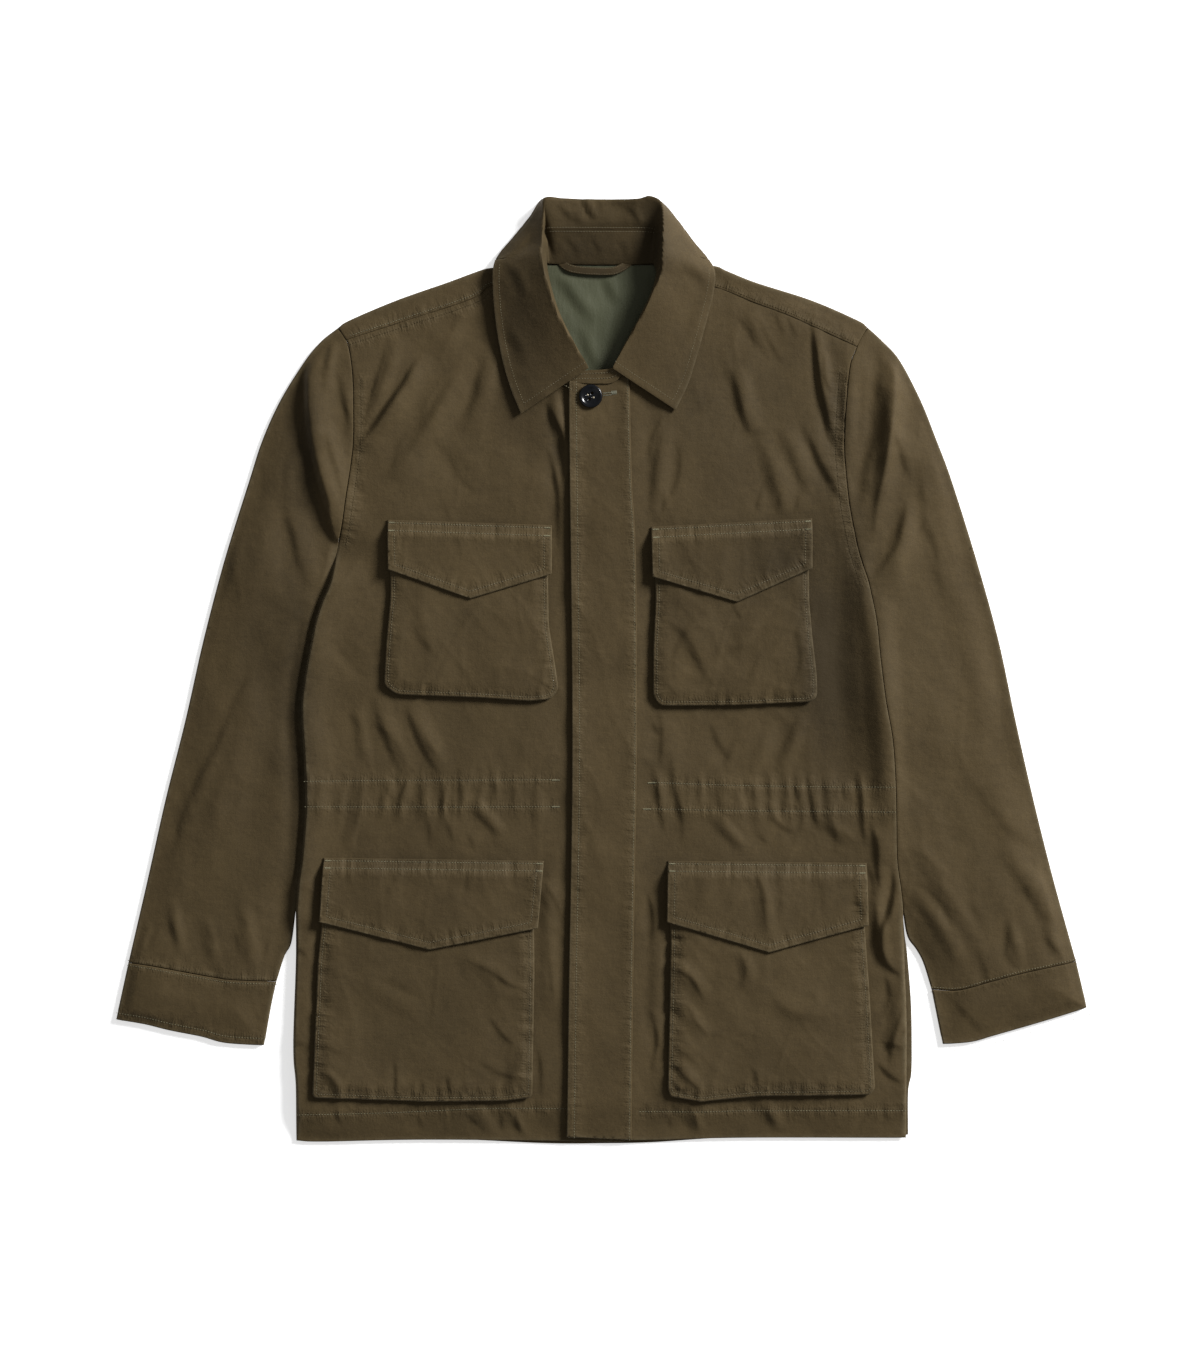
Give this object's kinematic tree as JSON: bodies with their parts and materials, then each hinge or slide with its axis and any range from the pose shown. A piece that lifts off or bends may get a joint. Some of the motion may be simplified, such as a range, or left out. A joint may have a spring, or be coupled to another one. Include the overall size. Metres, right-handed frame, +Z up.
{
  "type": "field jacket",
  "caption": "Cotton field jacket laid flat, face up, with turned-down collar, hidden button fly, bellows pockets with pointed flaps, drawcord waist and buttonless cuffs.",
  "frame": {"origin": "below the middle of the whole jacket's outline, on the surface it lies on", "axes": "+X to the wearer's left, +Y from the hem up to the collar, +Z up from the surface through the front"},
  "size_m": [0.8454, 0.8234, 0.0237],
  "materials": {
    "brown_cotton": "tight matt cotton twill",
    "sage_lining": "soft thin lining",
    "dark_button": "polished horn look"
  },
  "bodies": {
    "root": {"back": "brown_cotton", "front_right": "brown_cotton", "front_left": "brown_cotton", "placket": "brown_cotton", "sleeve_right": "brown_cotton", "sleeve_left": "brown_cotton", "cuff_right": "brown_cotton", "cuff_left": "brown_cotton", "collar_stand": "brown_cotton", "collar_fall": "brown_cotton", "lining": "sage_lining", "hanger_loop": "brown_cotton", "chest_pocket_right": "brown_cotton", "chest_pocket_left": "brown_cotton", "chest_flap_right": "brown_cotton", "chest_flap_left": "brown_cotton", "hip_pocket_right": "brown_cotton", "hip_pocket_left": "brown_cotton", "hip_flap_right": "brown_cotton", "hip_flap_left": "brown_cotton", "button": "dark_button"}
  },
  "joints": []
}
